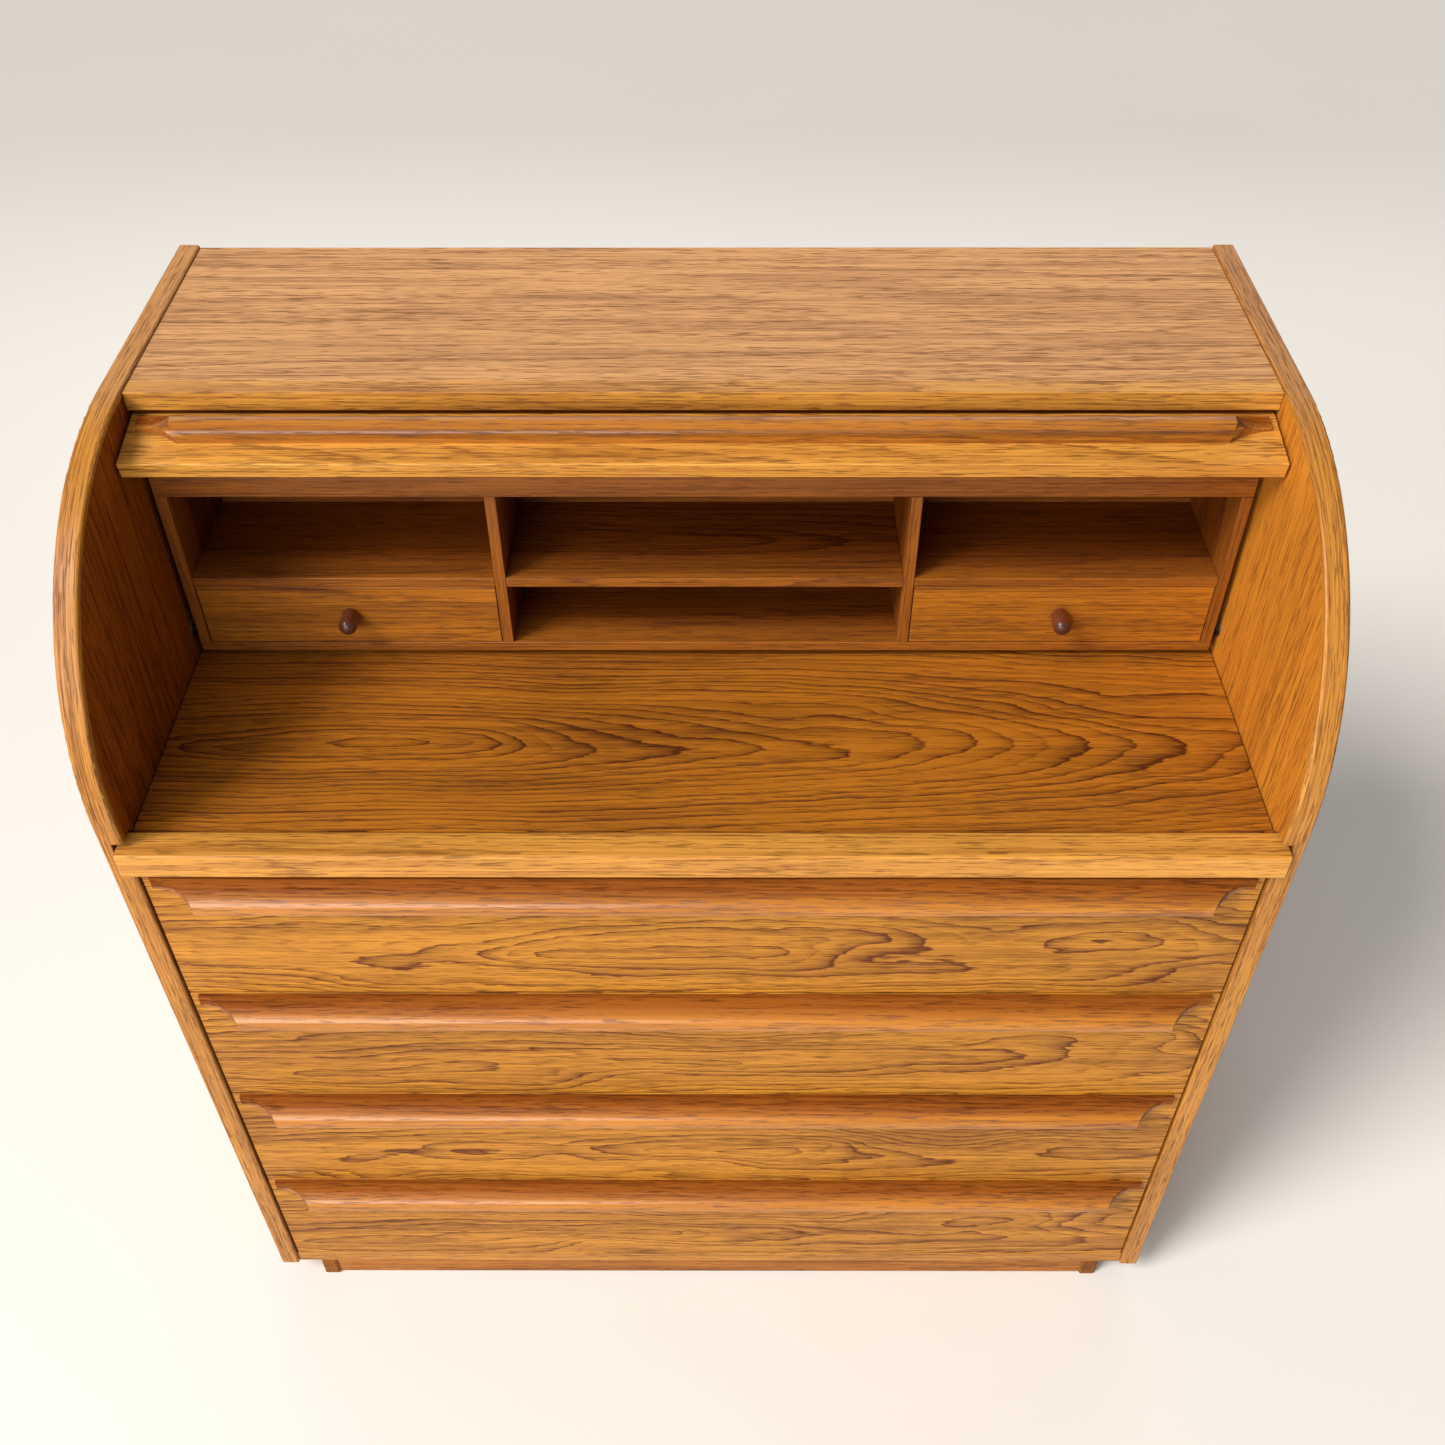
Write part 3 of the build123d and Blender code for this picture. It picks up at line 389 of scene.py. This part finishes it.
def painted_shade_mask(n, node, axis, reach):
    """The mask of the painted shade: 1 towards a node's far end along an axis, fading to 0 at a reach from that
    end.
    """
    place = n.split(n.place())["xyz".index(axis)]
    start = getattr(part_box(node)[1], axis) - reach
    return n.math("DIVIDE", n.math("SUBTRACT", place, start), PAINTED_SHADE_FADE * reach, clamp=True)


def end_grain(n, order):
    """1 where the surface cuts across the grain, 0 where it runs along it."""
    facing = n.split(n.add("ShaderNodeTexCoord").outputs["Normal"])["xyz".index(order[0])]
    beyond = n.math("SUBTRACT", n.math("ABSOLUTE", facing), END_GRAIN_FROM)
    return n.math("MULTIPLY", beyond, END_GRAIN_GAIN, clamp=True)


def wood_material(node, order, light, dark, seed, coat=0.0, shine=SHINE, sheltered=None, **values):
    material, n, shader = new_material("wood_" + node)
    wood = n.add("ShaderNodeGroup", node_tree=WOOD)
    n.feed(wood.inputs["Vector"], curved_grain(n) if order == "curve" else straight_grain(n, node, order))
    n.feed(wood.inputs["Light"], rgba(light))
    n.feed(wood.inputs["Dark"], rgba(dark))
    for key, value in dict(WOOD_VALUES, Seed=seed, **values).items():
        n.feed(wood.inputs[key], value)
    color, roughness = wood.outputs["Color"], wood.outputs["Roughness"]
    # Painted shade: darker colour towards the far end, with more roughness and less shine there.
    if sheltered:
        shade = n.math("MULTIPLY", painted_shade_mask(n, node, *sheltered), PAINTED_SHADE_DARKNESS)
        color = n.mix(shade, color, rgba(PAINTED_SHADE_TINT), "MULTIPLY")
        roughness = n.math("MULTIPLY_ADD", shade, PAINTED_SHADE_ROUGHNESS, roughness)
        shine = n.math("MULTIPLY", n.math("SUBTRACT", 1.0, shade), shine)
    if order != "curve":
        cut = end_grain(n, order)
        color = n.mix(n.math("MULTIPLY", cut, END_GRAIN_DARKNESS), color, rgba(END_GRAIN_TINT), "MULTIPLY")
        roughness = n.math("MULTIPLY_ADD", cut, END_GRAIN_ROUGHNESS, roughness)
    bump = {"Height": wood.outputs["Height"], "Strength": BUMP_STRENGTH, "Distance": BUMP_DISTANCE}
    n.feed(shader.inputs["Base Color"], color)
    n.feed(shader.inputs["Roughness"], roughness)
    n.feed(shader.inputs["Normal"], n.add("ShaderNodeBump", bump).outputs[0])
    n.feed(shader.inputs["Specular IOR Level"], shine)
    shader.inputs["Coat Weight"].default_value = coat
    shader.inputs["Coat Roughness"].default_value = COAT_ROUGHNESS
    return material


# ---- steel, nylon -----------------------------------------------------------------------------------
def steel_material(name, dark, light):
    material, n, shader = new_material(name)
    brushed = n.noise(n.place(), BRUSHING, seed=3.0, detail=3.0)
    patchy = n.noise(n.place(), STEEL_PATCHES, seed=5.0, detail=3.0)
    n.feed(shader.inputs["Base Color"], n.mix(patchy, rgba(dark), rgba(light)))
    n.feed(shader.inputs["Roughness"], n.math("MULTIPLY_ADD", brushed, STEEL_ROUGHEN, STEEL_SMOOTH))
    shader.inputs["Metallic"].default_value = 1.0
    return material


def nylon_material():
    material, n, shader = new_material("nylon")
    patchy = n.noise(n.place(), NYLON_PATCHES, seed=2.0, detail=3.0)
    n.feed(shader.inputs["Base Color"], n.mix(patchy, rgba(NYLON_DARK), rgba(NYLON_LIGHT)))
    n.feed(shader.inputs["Roughness"], n.math("MULTIPLY_ADD", patchy, NYLON_ROUGHEN, NYLON_SMOOTH))
    return material


# ---- dressing the pieces ----------------------------------------------------------------------------
def look_of(node):
    """Grain order, colours and figure of a wooden node."""
    if node in LOOKS:
        return LOOKS[node]
    if node.startswith("drawer_") and node.endswith("_front"):
        figure = FRONT_FIGURES[int(node.split("_")[1]) - 1]
        return "xzy", HONEY, HONEY_DARK, dict(figure, shine=FRONT_SHINE)
    if node.endswith("_pull"):
        # Painted shade in the upper hollow of the drawers' pulls.
        return "xzy", AMBER, AMBER_DARK, dict(MOULDED, sheltered=("z", PULL_HOLLOW_SHADE_REACH))
    order = "yzx" if "box" in node or "runners" in node else "xzy"
    return order, PALE, PALE_DARK, PLAIN


def dress(node, material):
    piece = frame["nodes"][node]
    if not piece.material_slots:
        piece.data.materials.append(material)
    for slot in piece.material_slots:
        slot.material = material


def dress_all():
    steel = steel_material("steel", STEEL_DARK, STEEL_LIGHT)
    browned = steel_material("brown_steel", BROWNED_DARK, BROWNED_LIGHT)
    nylon = nylon_material()
    slots = {part["node"]: part["material_slot"] for part in frame["record"]["subparts"]}
    for count, node in enumerate(sorted(frame["nodes"])):
        if slots[node] == "steel":
            dress(node, browned if node in BROWNED else steel)
        elif slots[node] == "nylon":
            dress(node, nylon)
        else:
            order, light, dark, values = look_of(node)
            dress(node, wood_material(node, order, light, dark, SEED_STEP * count, **values))


# ---- floor, light, camera ---------------------------------------------------------------------------
def make_floor():
    mesh = bpy.data.meshes.new("floor")
    half = FLOOR_SIZE / 2
    corners = [(-half, -half, 0), (half, -half, 0), (half, half, 0), (-half, half, 0)]
    mesh.from_pydata(corners, [], [(0, 1, 2, 3)])
    floor = bpy.data.objects.new("floor", mesh)
    bpy.context.scene.collection.objects.link(floor)
    material, n, shader = new_material("floor")
    patchy = n.noise(n.place(), FLOOR_PATCHES, seed=1.0, detail=3.0)
    darker = tuple(FLOOR_DARKEST * value for value in FLOOR_COLOR)
    n.feed(shader.inputs["Base Color"], n.mix(patchy, rgba(darker), rgba(FLOOR_COLOR)))
    shader.inputs["Roughness"].default_value = FLOOR_ROUGHNESS
    mesh.materials.append(material)


def aim(light, place, target):
    """Puts a light at a place, shining at a target."""
    light.location = place
    light.rotation_euler = (Vector(target) - Vector(place)).to_track_quat("-Z", "Y").to_euler()


def make_panel_light(name, place, target, size, power):
    glow = bpy.data.lights.new(name, "AREA")
    glow.shape = "RECTANGLE"
    glow.size, glow.size_y = size
    glow.energy = power
    panel = bpy.data.objects.new(name, glow)
    bpy.context.scene.collection.objects.link(panel)
    panel.visible_camera = False
    aim(panel, place, target)


def make_world():
    world = bpy.data.worlds.new("world")
    world.use_nodes = True
    background = world.node_tree.nodes["Background"]
    background.inputs["Color"].default_value = rgba(WORLD_COLOR)
    background.inputs["Strength"].default_value = WORLD_STRENGTH
    bpy.context.scene.world = world


def make_sun():
    sun = bpy.data.lights.new("daylight", "SUN")
    sun.energy = SUN_STRENGTH
    sun.angle = math.radians(SUN_ANGLE)
    sun.color = SUN_COLOR
    daylight = bpy.data.objects.new("daylight", sun)
    bpy.context.scene.collection.objects.link(daylight)
    aim(daylight, SUN_FROM, (0.0, 0.0, 0.0))


def make_camera():
    data = bpy.data.cameras.new("camera")
    data.sensor_width = SENSOR
    data.lens = LENS
    camera = bpy.data.objects.new("camera", data)
    bpy.context.scene.collection.objects.link(camera)
    turn = Matrix.Rotation(math.radians(CAMERA_YAW), 4, "Z")
    tip = Matrix.Rotation(math.radians(90.0 - CAMERA_PITCH), 4, "X")
    roll = Matrix.Rotation(math.radians(CAMERA_ROLL), 4, "Z")
    camera.matrix_world = Matrix.Translation(CAMERA_PLACE) @ turn @ tip @ roll
    bpy.context.scene.camera = camera


make_camera()
make_world()
make_sun()
make_panel_light("window", **WINDOW)
make_panel_light("back_light", **BACK_LIGHT)
make_floor()
dress_all()
bpy.context.scene.view_settings.view_transform = "Standard"
